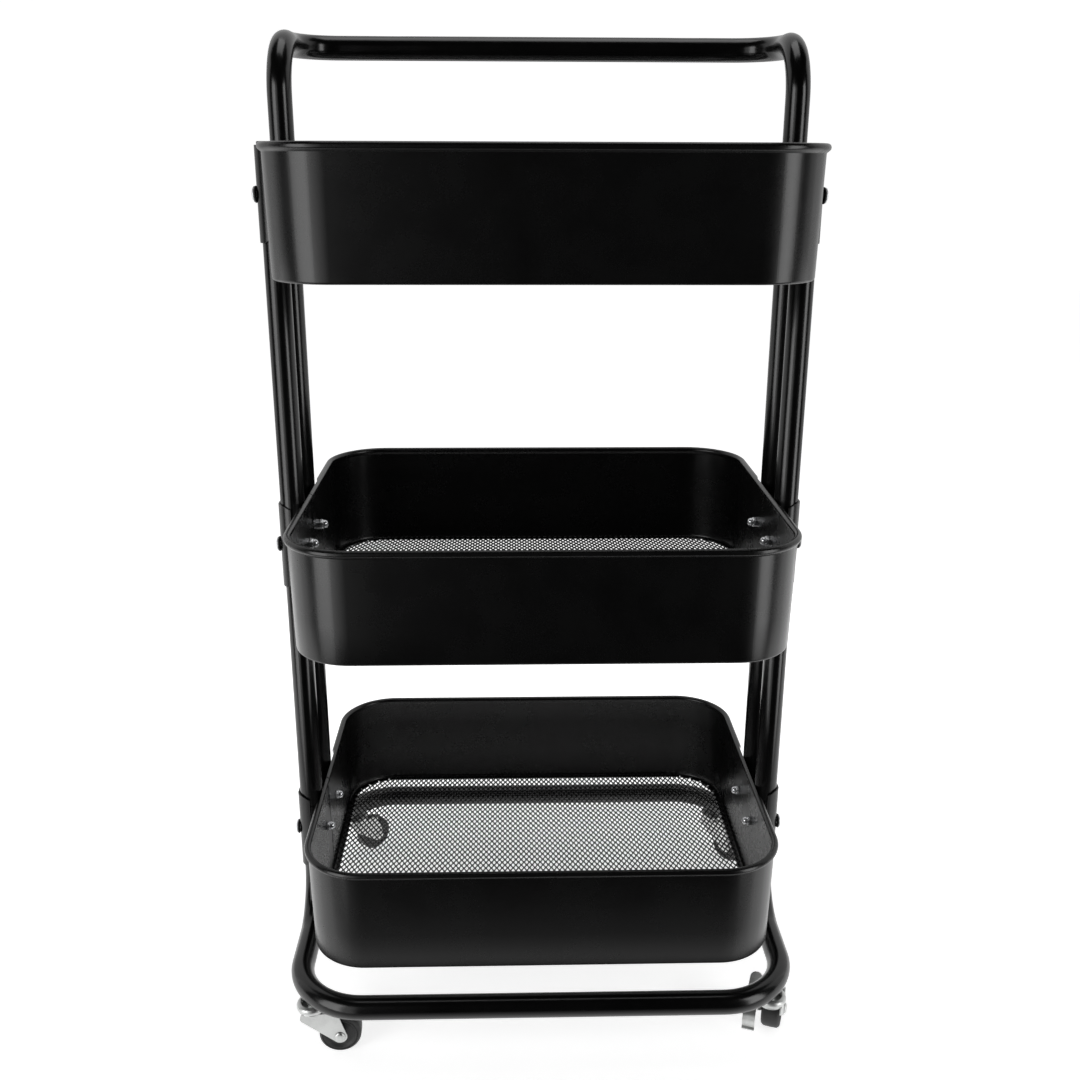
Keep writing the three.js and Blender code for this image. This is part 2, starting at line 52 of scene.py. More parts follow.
# ---- driving sizes that the boxes of the frame don't give, mm ------------------------------
TUBE_SIDES = 40
BEND_STEPS = 20
STATION_GAP = 12.0  # longest step between stations on a straight tube
HANDLE_BACK_R = 44.0
HANDLE_CORNER_R = 40.0
BASE_CORNER_R = 58.0
BASE_DROP_R = 44.0
CORNER_R = 53.0  # basket corner over the bead
TAPER = 2.0
SHEET = 0.9
BEAD_R = 2.9
BEAD_PROUD = 2.9
BEAD_FLAT_Y = 44.0
FLAT_BLEND = 8.0
FLANGE = 6.5
MESH_PITCH_X = 5.2
MESH_PITCH_Y = 9.2
MESH_CORNER_R = CORNER_R + 3
STRAND_W = 1.18
STRAND_T = 1.0
STRAND_TILT = 0.18
STRAND_LIFT = 0.1
BOND_L = 0.9
BRACKET_T = 1.5
GAP = 0.3

TIERS = ("lower", "middle", "upper")
SIDES = (("left", -1), ("right", 1))
ENDS = (("front", -1), ("rear", 1))
CASTERS = ("front_left", "front_right", "rear_left", "rear_right")
BRAKED = ("front_right", "rear_right")


def box_mm(node):
    lo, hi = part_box(node)
    return lo / MM, hi / MM


# ---- node materials ------------------------------------------------------------------------
class Graph:
    """A principled material whose look is built up node by node."""

    def __init__(self, name):
        self.mat = bpy.data.materials.new(name)
        self.mat.use_nodes = True
        self.tree = self.mat.node_tree
        self.shader = self.tree.nodes["Principled BSDF"]
        self.coords = self.tree.nodes.new("ShaderNodeTexCoord").outputs["Object"]
        self.height = None

    def link(self, a, b):
        self.tree.links.new(a, b)

    def noise(self, scale, detail=4.0, rough=0.5, stretch=(1, 1, 1)):
        place = self.tree.nodes.new("ShaderNodeMapping")
        place.inputs["Scale"].default_value = stretch
        node = self.tree.nodes.new("ShaderNodeTexNoise")
        node.inputs["Scale"].default_value = scale
        node.inputs["Detail"].default_value = detail
        node.inputs["Roughness"].default_value = rough
        self.link(self.coords, place.inputs["Vector"])
        self.link(place.outputs["Vector"], node.inputs["Vector"])
        return node.outputs["Fac"]

    def ramp(self, fac, stops):
        node = self.tree.nodes.new("ShaderNodeValToRGB")
        ramp = node.color_ramp
        while len(ramp.elements) < len(stops):
            ramp.elements.new(0.5)
        for element, (at, colour) in zip(ramp.elements, stops):
            element.position = at
            element.color = (*colour, 1.0)
        self.link(fac, node.inputs["Fac"])
        return node.outputs["Color"]

    def spread(self, fac, low, high):
        node = self.tree.nodes.new("ShaderNodeMapRange")
        node.inputs["From Min"].default_value = 0.3
        node.inputs["From Max"].default_value = 0.7
        node.inputs["To Min"].default_value = low
        node.inputs["To Max"].default_value = high
        self.link(fac, node.inputs["Value"])
        return node.outputs["Result"]

    def add(self, a, b, weight):
        node = self.tree.nodes.new("ShaderNodeMath")
        node.operation = "MULTIPLY_ADD"
        self.link(b, node.inputs[0])
        node.inputs[1].default_value = weight
        self.link(a, node.inputs[2])
        return node.outputs["Value"]

    def bump(self, height, distance):
        node = self.tree.nodes.new("ShaderNodeBump")
        node.inputs["Distance"].default_value = distance
        node.inputs["Strength"].default_value = 1.0
        self.link(height, node.inputs["Height"])
        if self.height:
            self.link(self.height, node.inputs["Normal"])
        self.height = node.outputs["Normal"]
        self.link(self.height, self.shader.inputs["Normal"])

    def colour(self, socket):
        self.link(socket, self.shader.inputs["Base Color"])

    def rough(self, socket):
        self.link(socket, self.shader.inputs["Roughness"])

    def set(self, **values):
        for name, value in values.items():
            self.shader.inputs[name.replace("_", " ")].default_value = value


def black_paint(name, rough, peel, dark=0.0007, light=0.002):
    """Powder paint: near black, faintly mottled, with orange peel and a few finer specks."""
    g = Graph(name)
    cloud = g.noise(18.0, 5.0, 0.6)
    fine = g.noise(420.0, 3.0, 0.55)
    g.colour(g.ramp(g.add(cloud, fine, 0.25), (
        (0.35, (dark, dark, dark * 1.04)),
        (0.75, (light, light, light * 1.03)),
    )))
    g.rough(g.spread(g.add(cloud, fine, 0.2), rough[0], rough[1]))
    g.bump(g.noise(260.0, 2.0, 0.5), peel)
    g.bump(g.noise(1400.0, 2.0, 0.5), peel * 0.18)
    g.set(Metallic=0.0, IOR=1.5, Specular_IOR_Level=0.5)
    return g.mat


def plated(name, tint, rough, stretch, streak, worn, metal=1.0):
    """Plated steel: bright metal with a fine grain and slightly clouded plating."""
    g = Graph(name)
    grain = g.noise(700.0, 3.0, 0.6, stretch)
    cloud = g.noise(60.0, 5.0, 0.6)
    low = tuple(c * worn for c in tint)
    g.colour(g.ramp(g.add(cloud, grain, 0.3), ((0.3, low), (0.75, tint))))
    g.rough(g.spread(g.add(cloud, grain, 0.35), rough[0], rough[1]))
    g.bump(grain, streak)
    g.set(Metallic=metal)
    return g.mat


def wheel_plastic():
    """Moulded black plastic, a little greyed in random patches by dust."""
    g = Graph("wheel_plastic")
    cloud = g.noise(90.0, 5.0, 0.6)
    fine = g.noise(900.0, 2.0, 0.5)
    g.colour(g.ramp(cloud, ((0.35, (0.006, 0.006, 0.0065)), (0.8, (0.018, 0.018, 0.018)))))
    g.rough(g.spread(g.add(cloud, fine, 0.4), 0.34, 0.52))
    g.bump(fine, 0.00004)
    g.set(Metallic=0.0, IOR=1.49)
    return g.mat


MATERIALS = {
    "frame_paint": black_paint("frame_paint", rough=(0.17, 0.22), peel=0.000007),
    "basket_paint": black_paint("basket_paint", rough=(0.24, 0.28), peel=0.000007),
    "mesh_paint": black_paint("mesh_paint", rough=(0.34, 0.44), peel=0.00001, dark=0.0012, light=0.003),
    "bracket_paint": black_paint("bracket_paint", rough=(0.22, 0.28), peel=0.000007),
    "screw_steel": plated("screw_steel", (0.84, 0.85, 0.86), rough=(0.26, 0.4), stretch=(1, 1, 1),
                          streak=0.00001, worn=0.85, metal=0.6),
    "cap_nut_chrome": plated("cap_nut_chrome", (0.8, 0.81, 0.83), rough=(0.1, 0.18), stretch=(1, 1, 1),
                             streak=0.000003, worn=0.92, metal=0.85),
    "caster_zinc": plated("caster_zinc", (0.66, 0.67, 0.66), rough=(0.24, 0.42), stretch=(1, 1, 3),
                          streak=0.00002, worn=0.72),
    "wheel_plastic": wheel_plastic(),
}
WASHER_PAINT = black_paint("washer_paint", rough=(0.34, 0.48), peel=0.00003, dark=0.005, light=0.012)


# ---- mesh helpers --------------------------------------------------------------------------
def piece(name, verts, faces, body, slot, stands_for=(), bevel=0.0, place=None, crease=40.0, paint=None):
    """Makes a mesh object from millimetre vertices, puts it on the body it rides on and hides the frame
    parts it stands for.
    """
    mesh = bpy.data.meshes.new(name)
    place = place or Matrix.Identity(4)
    mesh.from_pydata([(place @ Vector(v)) * MM for v in verts], [], faces)
    mesh.validate()
    mesh.shade_smooth()
    mesh.set_sharp_from_angle(angle=math.radians(crease))
    mesh.materials.append(paint or MATERIALS[slot])
    obj = bpy.data.objects.new(name, mesh)
    bpy.context.scene.collection.objects.link(obj)
    if bevel:
        mod = obj.modifiers.new("edge", "BEVEL")
        mod.width = bevel * MM
        mod.segments = 3
        mod.limit_method = "ANGLE"
        mod.angle_limit = math.radians(crease)
        mod.harden_normals = True
    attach(obj, body)
    if stands_for:
        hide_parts(*stands_for)


def grid_faces(rows, cols, close_rows=False):
    """Quads over rows of cols vertices, each row a closed ring."""
    faces = []
    for i in range(rows if close_rows else rows - 1):
        a = i * cols
        b = ((i + 1) % rows) * cols
        for j in range(cols):
            k = (j + 1) % cols
            faces.append((a + j, b + j, b + k, a + k))
    return faces


def merge(parts):
    """Several (verts, faces) as one."""
    verts, faces = [], []
    for part_verts, part_faces in parts:
        base = len(verts)
        verts.extend(part_verts)
        faces.extend(tuple(base + i for i in face) for face in part_faces)
    return verts, faces


def lathe(profile, sides=40, axis="z"):
    """Turns (radius, height) points round an axis. A radius of 0 at an end closes it."""
    verts, rings = [], []
    for radius, height in profile:
        if radius < 1e-6:
            rings.append([len(verts)])
            verts.append((0.0, 0.0, height))
            continue
        rings.append([len(verts) + k for k in range(sides)])
        for k in range(sides):
            a = 2 * math.pi * k / sides
            verts.append((radius * math.cos(a), radius * math.sin(a), height))
    faces = []
    for low, high in zip(rings, rings[1:]):
        for k in range(sides):
            n = (k + 1) % sides
            if len(low) == 1:
                faces.append((low[0], high[n], high[k]))
            elif len(high) == 1:
                faces.append((low[k], low[n], high[0]))
            else:
                faces.append((low[k], low[n], high[n], high[k]))
    if axis == "y":
        verts = [(x, z, -y) for x, y, z in verts]
    elif axis == "x":
        verts = [(z, x, y) for x, y, z in verts]
    return verts, faces


def slab(outline, low, high, axis="z"):
    """A closed outline pushed through from low to high along an axis."""
    n = len(outline)
    verts = [(x, y, low) for x, y in outline] + [(x, y, high) for x, y in outline]
    faces = [tuple(reversed(range(n))), tuple(range(n, 2 * n))]
    faces += [(i, (i + 1) % n, n + (i + 1) % n, n + i) for i in range(n)]
    if axis == "y":
        verts = [(x, z, y) for x, y, z in verts]
        faces = [tuple(reversed(f)) for f in faces]
    return verts, faces


def arc(cx, cy, radius, start, end, steps):
    points = []
    for k in range(steps + 1):
        a = math.radians(start + (end - start) * k / steps)
        points.append((cx + radius * math.cos(a), cy + radius * math.sin(a)))
    return points


def smooth(t):
    t = min(1.0, max(0.0, t))
    return t * t * (3 - 2 * t)


# ---- frame tubes ---------------------------------------------------------------------------
def bent_path(corners, radii):
    """Stations (place, tangent, bend number or -1, share of the bend) along a bent tube."""
    corners = [Vector(c) for c in corners]
    legs = [(b - a).normalized() for a, b in zip(corners, corners[1:])]
    stations = []

    def straight(a, b, tangent):
        steps = max(1, math.ceil((b - a).length / STATION_GAP))
        for k in range(steps + 1):
            stations.append((a.lerp(b, k / steps), tangent, -1, 0.0))

    at = corners[0]
    for i, radius in enumerate(radii):
        into, out = legs[i], legs[i + 1]
        turn = into.angle(out)
        start = corners[i + 1] - into * radius * math.tan(turn / 2)
        straight(at, start, into)
        inward = (out - into * out.dot(into)).normalized()
        for k in range(1, BEND_STEPS):
            angle = turn * k / BEND_STEPS
            spot = start + into * radius * math.sin(angle) + inward * radius * (1 - math.cos(angle))
            tangent = into * math.cos(angle) + inward * math.sin(angle)
            stations.append((spot, tangent.normalized(), i, k / BEND_STEPS))
        at = corners[i + 1] + out * radius * math.tan(turn / 2)
    straight(at, corners[-1], legs[-1])
    return stations


def sweep(stations, radius_at, first_normal, sides=TUBE_SIDES):
    """A closed round bar along the stations. radius_at(station, angle in degrees) shapes it."""
    verts = []
    normal = Vector(first_normal)
    for station in stations:
        spot, tangent = station[0], station[1]
        normal = (normal - tangent * normal.dot(tangent)).normalized()
        side = tangent.cross(normal)
        for k in range(sides):
            degrees = 360.0 * k / sides
            a = math.radians(degrees)
            r = radius_at(station, degrees)
            verts.append(spot + (normal * math.cos(a) + side * math.sin(a)) * r)
    faces = [tuple(reversed(f)) for f in grid_faces(len(stations), sides)]
    last = (len(stations) - 1) * sides
    faces.append(tuple(reversed(range(sides))))
    faces.append(tuple(range(last, last + sides)))
    return verts, faces


lo, hi = box_mm("front_right_upright")
TUBE_X = (lo.x + hi.x) / 2
TUBE_Y = -(lo.y + hi.y) / 2
TUBE_R = (hi.x - lo.x) / 2
UPRIGHT_TOP = hi.z
lo, hi = box_mm("front_base_tube")
BASE_Z = lo.z + TUBE_R
BASE_Y = -lo.y - TUBE_R
JOINT_Z = hi.z
lo, hi = box_mm("handle_tube")
HANDLE_Z = hi.z - TUBE_R
HANDLE_Y = hi.y - TUBE_R

HANDLE_SEAM = 99.0  # weld line of the handle tube, degrees round from its first normal
BASE_SEAM = 180.0
SEAM_HALF = 4.6  # degrees
SEAM_DEPTH = 0.22
CORNER_PINCH = 0.9  # how far the inside of each bend is flattened
CORNER_RIDGE = 0.45  # crease left in the middle of a pinched corner
BACK_PINCH = 0.6
BASE_PINCH = 0.5
CLAMP_X = (-127.0, 128.0)  # marks of the bending die on the handle bar
CLAMP_DEPTH = 0.22
CLAMP_L = 8.0
CLAMP_ANGLE = 70.0


def bell(value, middle, width):
    return math.exp(-(((value - middle) / width) ** 2))


def handle_radius(station, degrees):
    spot, tangent, bend, share = station
    r = TUBE_R
    if abs(degrees - HANDLE_SEAM) < SEAM_HALF:
        r -= SEAM_DEPTH
    if bend in (1, 2):
        around = bell(degrees, 90, 26)
        r -= CORNER_PINCH * around * math.sin(math.pi * share) ** 2
        r += CORNER_RIDGE * around * bell(share, 0.5, 0.09)
    if bend in (0, 3):
        r -= BACK_PINCH * bell(degrees, 180, 30) * math.sin(math.pi * share) ** 2
    if abs(tangent.x) > 0.99:
        facing = max(0.0, math.cos(math.radians(degrees - CLAMP_ANGLE)))
        for mark in CLAMP_X:
            r -= CLAMP_DEPTH * bell(spot.x, mark, CLAMP_L) * facing
    return r


def base_radius(station, degrees):
    bend, share = station[2], station[3]
    r = TUBE_R - (SEAM_DEPTH if abs(degrees - BASE_SEAM) < SEAM_HALF else 0.0)
    if bend in (1, 2):
        r -= BASE_PINCH * bell(degrees, 90, 30) * math.sin(math.pi * share) ** 2
    return r


start = JOINT_Z + GAP
handle_path = bent_path(
    [(-TUBE_X, TUBE_Y, start), (-TUBE_X, TUBE_Y, HANDLE_Z), (-TUBE_X, HANDLE_Y, HANDLE_Z),
     (TUBE_X, HANDLE_Y, HANDLE_Z), (TUBE_X, TUBE_Y, HANDLE_Z), (TUBE_X, TUBE_Y, start)],
    [HANDLE_BACK_R, HANDLE_CORNER_R, HANDLE_CORNER_R, HANDLE_BACK_R])
verts, faces = sweep(handle_path, handle_radius, (0, -1, 0))
piece("handle_bent_tube", verts, faces, "root", "frame_paint", ["handle_tube"])

# The front uprights end in a thin rolled lip round a plastic plug.
for side, sx in SIDES:
    profile = [
        (0, start), (TUBE_R - 0.6, start), (TUBE_R, start + 0.6), (TUBE_R, UPRIGHT_TOP - 0.7),
        (TUBE_R - 0.25, UPRIGHT_TOP - 0.2), (TUBE_R - 0.8, UPRIGHT_TOP), (TUBE_R - 1.4, UPRIGHT_TOP),
        (TUBE_R - 1.7, UPRIGHT_TOP - 0.5), (TUBE_R - 2.1, UPRIGHT_TOP - 0.3), (5.5, UPRIGHT_TOP - 0.2),
        (0, UPRIGHT_TOP - 0.1),
    ]
    verts, faces = lathe(profile, TUBE_SIDES)
    place = Matrix.Translation((sx * TUBE_X, -TUBE_Y, 0))
    node = f"front_{side}_upright"
    piece(f"{node}_tube", verts, faces, "root", "frame_paint", [node], place=place)

for end, sy in ENDS:
    base_path = bent_path(
        [(-TUBE_X, sy * TUBE_Y, JOINT_Z), (-TUBE_X, sy * TUBE_Y, BASE_Z), (-TUBE_X, sy * BASE_Y, BASE_Z),
         (TUBE_X, sy * BASE_Y, BASE_Z), (TUBE_X, sy * TUBE_Y, BASE_Z), (TUBE_X, sy * TUBE_Y, JOINT_Z)],
        [BASE_DROP_R, BASE_CORNER_R, BASE_CORNER_R, BASE_DROP_R])
    verts, faces = sweep(base_path, base_radius, (0, sy, 0))
    piece(f"{end}_base_loop", verts, faces, "root", "frame_paint", [f"{end}_base_tube"])

# ---- baskets -------------------------------------------------------------------------------
SLITS = (14.0, 29.5, 45.0, 60.5, 76.0)  # relief slits of the floor flange, round each corner
SLIT_HALF = 0.95
SLIT_EDGE = 0.02
SEAM_Y = -6.0  # lap seam on the left wall
SEAM_STEP = 0.35
LAP_W = 9
WALL_STEP = 12
CORNER_STEP = 4.5  # degrees


class Station:
    """A point on the outer wall line, its outward normal and what the section does there."""

    def __init__(self, x, y, nx, ny, flat=0.0, slit=False, lap=0.0, notch=0.0):
        self.x, self.y, self.nx, self.ny = x, y, nx, ny
        self.flat, self.slit, self.lap, self.notch = flat, slit, lap, notch


def basket_stations(half_x, half_y, radius):
    stations = []
    for sx, sy, first in ((1, 1, 0), (-1, 1, 90), (-1, -1, 180), (1, -1, 270)):
        angles = [(CORNER_STEP * k, False) for k in range(21)]
        angles = [a for a in angles if all(abs(a[0] - s) > 1.2 for s in SLITS)]
        for s in SLITS:
            for offset, slit in ((-SLIT_HALF, False), (-SLIT_HALF + SLIT_EDGE, True),
                                 (SLIT_HALF - SLIT_EDGE, True), (SLIT_HALF, False)):
                angles.append((s + offset, slit))
        for turn, slit in sorted(angles):
            a = math.radians(first + turn)
            nx, ny = math.cos(a), math.sin(a)
            stations.append(Station(
                sx * (half_x - radius) + radius * nx, sy * (half_y - radius) + radius * ny,
                nx, ny, slit=slit))
        if first in (90, 270):
            side = -1 if first == 90 else 1
            reach = half_y - radius
            ys = [-reach + WALL_STEP * k for k in range(1, int(2 * reach / WALL_STEP))]
            ys += [s * (BEAD_FLAT_Y + FLAT_BLEND * k / 6) for s in (-1, 1) for k in range(7)]
            if side < 0:
                ys += [SEAM_Y + d for d in (-0.8, -0.45, -0.05, 0.05, 0.45, 0.8)]
            ys = sorted(set(round(y, 3) for y in ys), reverse=side < 0)
            for y in ys:
                flat = smooth((BEAD_FLAT_Y + FLAT_BLEND - abs(y)) / FLAT_BLEND)
                lap = SEAM_STEP if side < 0 and SEAM_Y < y < SEAM_Y + LAP_W else 0.0
                notch = 1.0 if side < 0 and abs(y - SEAM_Y) < 0.5 else 0.0
                stations.append(Station(side * half_x, y, side, 0, flat=flat, lap=lap, notch=notch))
        else:
            side = 1 if first == 0 else -1
            reach = half_x - radius
            for k in range(1, 12):
                stations.append(Station(side * (reach - 2 * reach * k / 12), side * half_y, 0, side))
    return stations


def basket_section(station, height):
    """Round the sheet once, from the foot of the wall up outside and down inside."""
    foot = -height
    section = [(-TAPER - 2.6, foot), (-TAPER - 1.2, foot + 0.25), (-TAPER - 0.35, foot + 0.95),
               (-TAPER, foot + 2.2)]
    for share in (0.35, 0.7):
        section.append((-TAPER * (1 - share), foot * (1 - share)))
    section.append((-0.12, -2 * BEAD_R - 0.9))
    for k in range(15):
        a = math.radians(-62 + (242 + 62) * k / 14)
        shrink = 1 - 0.3 * station.notch
        across = BEAD_R * shrink * math.cos(a) + BEAD_PROUD - BEAD_R
        pressed = min(across, 0.35 * math.cos(a))
        across += (pressed - across) * station.flat
        section.append((across, BEAD_R * shrink * math.sin(a) - BEAD_R))
    inner = -SHEET - station.lap
    section.append((inner - 0.12, -2 * BEAD_R - 0.9))
    for share in (0.7, 0.35):
        section.append((inner - TAPER * (1 - share), foot * (1 - share)))
    edge = -TAPER + inner - 2.3 if station.slit else -TAPER - FLANGE
    section += [(-TAPER + inner, foot + SHEET + 2.2), (-TAPER + inner - 0.3, foot + SHEET + 1.0),
                (-TAPER + inner - 0.9, foot + SHEET + 0.3), (-TAPER + inner - 1.9, foot + SHEET),
                (edge, foot + SHEET), (edge, foot)]
    return section


def basket_mesh(half_x, half_y, rim, height):
    stations = basket_stations(half_x - BEAD_PROUD, half_y - BEAD_PROUD, CORNER_R - BEAD_PROUD)
    verts, count = [], 0
    for s in stations:
        section = basket_section(s, height)
        count = len(section)
        verts += [(s.x + s.nx * o, s.y + s.ny * o, rim + d) for o, d in section]
    return verts, [tuple(reversed(f)) for f in grid_faces(len(stations), count, close_rows=True)]


def outline_y(x, half_x, half_y, radius):
    """Half width of a rounded rectangle at x."""
    over = abs(x) - (half_x - radius)
    if over <= 0:
        return half_y
    return half_y - radius + math.sqrt(max(0.0, radius * radius - over * over))


def mesh_floor(half_x, half_y, radius, low):
    """Expanded metal: zigzag strands, every other one mirrored, that meet at every bond."""
    parts = []
    spacing = MESH_PITCH_X / 2
    columns = int(half_x / spacing - 0.5)
    swing = spacing / 2 - STRAND_W * 0.34
    step = MESH_PITCH_Y / 2
    for column in range(-columns, columns + 1):
        x0 = column * spacing
        mirror = 1 if column % 2 else -1
        reach = outline_y(abs(x0) + spacing / 2, half_x, half_y, radius) - 0.5
        if reach < half_y * 0.3:
            continue
        path = []
        for k in range(math.ceil(-reach / step), math.floor(reach / step) + 1):
            y = k * step
            side = mirror if k % 2 else -mirror
            x = x0 + side * swing
            path += [(x, y - BOND_L / 2, side), (x, y + BOND_L / 2, side)]
        path[0] = (path[0][0], -reach, path[0][2])
        path[-1] = (path[-1][0], reach, path[-1][2])
        verts = []
        for x, y, side in path:
            tilt = STRAND_TILT * side
            for u, v in ((-0.5, -0.5), (0.5, -0.5), (0.5, 0.5), (-0.5, 0.5)):
                z = low + STRAND_T * (0.5 + v) + tilt * u + STRAND_LIFT
                verts.append((x + u * STRAND_W, y, z))
        n = len(path)
        faces = [tuple(reversed(f)) for f in grid_faces(n, 4)]
        faces.append((0, 1, 2, 3))
        faces.append(tuple(4 * (n - 1) + k for k in (3, 2, 1, 0)))
        parts.append((verts, faces))
    return merge(parts)


for tier in TIERS:
    lo, hi = box_mm(f"{tier}_basket_shell")
    verts, faces = basket_mesh(hi.x, hi.y, hi.z, hi.z - lo.z)
    piece(f"{tier}_basket_tray", verts, faces, "root", "basket_paint", [f"{tier}_basket_shell"])
    lo, hi = box_mm(f"{tier}_mesh_floor")
    verts, faces = mesh_floor(hi.x, hi.y, MESH_CORNER_R, lo.z)
    piece(f"{tier}_expanded_mesh", verts, faces, "root", "mesh_paint", [f"{tier}_mesh_floor"])


# ---- brackets and fasteners ----------------------------------------------------------------
BRACKET_CUT = 3.5  # the wrapped ends are cut back above and below
WASHER_T = 1.4
HEAD_LAND = 0.55  # height of the head's rim, below its dome
RECESS_DEPTH = 1.2
RECESS_HALF = 0.35
RECESS_REACH = 2.4


def bracket_mesh(low, high):
    """Clamp plate round the right-hand pair of uprights: flat outside, wrapped at its ends."""
    inner = TUBE_R + GAP
    line = [(TUBE_X + inner * math.cos(a), -TUBE_Y + inner * math.sin(a), math.cos(a), math.sin(a))
            for a in (math.radians(-90 + 90 * k / 12) for k in range(13))]
    line += [(x, -y, nx, -ny) for x, y, nx, ny in reversed(line)]
    verts = []
    last = len(line) - 1
    for i, (x, y, nx, ny) in enumerate(line):
        near = min(i, last - i) / 5
        cut = BRACKET_CUT * (1 - min(1.0, near))
        for out, z in ((0, low + cut), (BRACKET_T, low + cut), (BRACKET_T, high - cut), (0, high - cut)):
            verts.append((x + nx * out, y + ny * out, z))
    n = len(line)
    faces = grid_faces(n, 4)
    faces.append((3, 2, 1, 0))
    faces.append(tuple(4 * last + k for k in (0, 1, 2, 3)))
    return verts, [tuple(reversed(f)) for f in faces]


def truss_head(seat, radius, tip):
    """Low domed head with a cross recess, axis along X, from its seat out to the tip."""
    sides, rings = 48, 12
    verts, faces = [], []
    depth = tip - seat
    verts.append((seat, 0, 0))
    profile = [(radius * 0.97, seat), (radius, seat + 0.25), (radius, seat + HEAD_LAND)]
    for k in range(1, rings + 1):
        a = math.radians(90.0 * k / rings)
        profile.append((radius * math.cos(a), seat + HEAD_LAND + (depth - HEAD_LAND) * math.sin(a)))
    for r, x in profile:
        for k in range(sides):
            a = 2 * math.pi * k / sides
            y, z = r * math.cos(a), r * math.sin(a)
            arm = min(abs(y), abs(z))
            reach = max(abs(y), abs(z))
            sink = RECESS_DEPTH * (1 - smooth((arm - RECESS_HALF) / 0.4))
            sink *= 1 - smooth((reach - RECESS_REACH) / 0.7)
            verts.append((x - (sink if x > seat + 0.6 else 0.0), y, z))
    for k in range(sides):
        n = (k + 1) % sides
        faces.append((0, 1 + n, 1 + k))
    for i in range(len(profile) - 1):
        a, b = 1 + i * sides, 1 + (i + 1) * sides
        for k in range(sides):
            n = (k + 1) % sides
            faces.append((a + k, a + n, b + n, b + k))
    faces.append(tuple(1 + (len(profile) - 1) * sides + k for k in range(sides)))
    return verts, faces


def cap_nut(seat, tip, radius):
    """Hexagon collar with chamfered corners under a polished dome, axis along X, dome inwards."""
    length = seat - tip
    collar = length * 0.42
    sides = 72
    flats = radius * math.cos(math.pi / 6)

    def hexed(limit):
        ring = []
        for k in range(sides):
            a = 2 * math.pi * k / sides
            fold = (math.degrees(a) + 30) % 60 - 30
            ring.append(min(limit, flats / math.cos(math.radians(fold))))
        return ring

    rows = [(seat, [flats * 0.98] * sides), (seat - 0.25, hexed(radius * 0.97)),
            (seat - 0.7, hexed(radius)), (seat - collar + 0.5, hexed(radius)),
            (seat - collar, [flats * 0.97] * sides)]
    dome_r = flats * 0.93
    dome_l = length - collar
    rows.append((seat - collar - 0.15, [dome_r] * sides))
    for k in range(1, 12):
        a = math.radians(90 * k / 12)
        rise = (dome_l - 0.15) * math.sin(a)
        rows.append((seat - collar - 0.15 - rise, [dome_r * math.cos(a) ** 0.8] * sides))
    verts = []
    for x, ring in rows:
        for k, r in enumerate(ring):
            a = 2 * math.pi * k / sides
            verts.append((x, r * math.cos(a), r * math.sin(a)))
    faces = [tuple(reversed(f)) for f in grid_faces(len(rows), sides)]
    faces.append(tuple(range(sides)))
    end = len(verts)
    verts.append((tip, 0, 0))
    last = (len(rows) - 1) * sides
    faces += [(last + (k + 1) % sides, last + k, end) for k in range(sides)]
    return verts, [tuple(reversed(f)) for f in faces]


for tier in TIERS:
    for side, sx in SIDES:
        turn = Matrix.Rotation(math.pi if sx < 0 else 0.0, 4, "Z")
        node = f"{tier}_{side}_bracket"
        lo, hi = box_mm(node)
        plate_face = max(abs(lo.x), abs(hi.x))
        verts, faces = bracket_mesh(lo.z, hi.z)
        piece(f"{node}_plate", verts, faces, "root", "bracket_paint", [node], bevel=0.35, place=turn)
        for end, sy in ENDS:
            node = f"{tier}_{side}_{end}_bolt"
            lo, hi = box_mm(node)
            spot = Matrix.Translation((0, (lo.y + hi.y) / 2, (lo.z + hi.z) / 2)) @ turn
            reach = max(abs(lo.x), abs(hi.x))
            washer_r = (hi.z - lo.z) / 2
            seat = plate_face + GAP
            top = seat + WASHER_T - 0.02
            shank = lathe([(0, seat - 6), (2.4, seat - 6), (2.4, top), (0, top)], 24, "x")
            verts, faces = merge([truss_head(seat + WASHER_T, washer_r * 0.93, reach), shank])
            piece(f"{node}_head", verts, faces, "root", "screw_steel", [node], place=spot, crease=50)
            verts, faces = lathe([
                (2.6, seat), (washer_r - 0.4, seat), (washer_r, seat + 0.4),
                (washer_r, seat + WASHER_T - 0.4), (washer_r - 0.4, seat + WASHER_T),
                (2.6, seat + WASHER_T), (2.6, seat)], 48, "x")
            piece(f"{tier}_{side}_{end}_washer", verts, faces, "root", "screw_steel", place=spot,
                  paint=WASHER_PAINT)
            node = f"{tier}_{side}_{end}_cap_nut"
            lo, hi = box_mm(node)
            near, far = sorted((abs(lo.x), abs(hi.x)))
            radius = (hi.z - lo.z) / 2
            verts, faces = cap_nut(far, near, radius)
            piece(f"{node}_dome", verts, faces, "root", "cap_nut_chrome", [node], place=spot, crease=32)


# ---- casters -------------------------------------------------------------------------------
# Drawn with the swivel axis on Z and the wheel trailing along +X.
FORK_IN = 9.2
FORK_T = 1.3
BOSS_R = 6.2
AXLE_R = 2.5
CUP_LIFT = 4.2  # underside of the race cup, over the foot of the stem
CUP_H = 5.8
CROWN_R = 12.2
CROWN_DROP = 1.8
WHEEL_W = 16.0
LEVER_T = 1.3
LEVER_W = 10.7
TONGUE_ROUND_X = 28.5  # where the rounded tail of the lever starts
TONGUE = ((-13.2, 17.4), (-11.6, 18.8), (-11.7, 20.8), (-12.4, 24), (-11.6, 27.4), (-9.5, 30),
          (-6.4, 32.4), (-3, 34), (2, 35.4), (8, 36.5), (16, 37.5), (24, 38.5), (28.5, 40),
          (31, 40.8), (32.6, 41.3), (33.6, 41.7))  # top face, from the hooked toe to the tail

joints = {j["name"]: j for j in frame["joints"]}


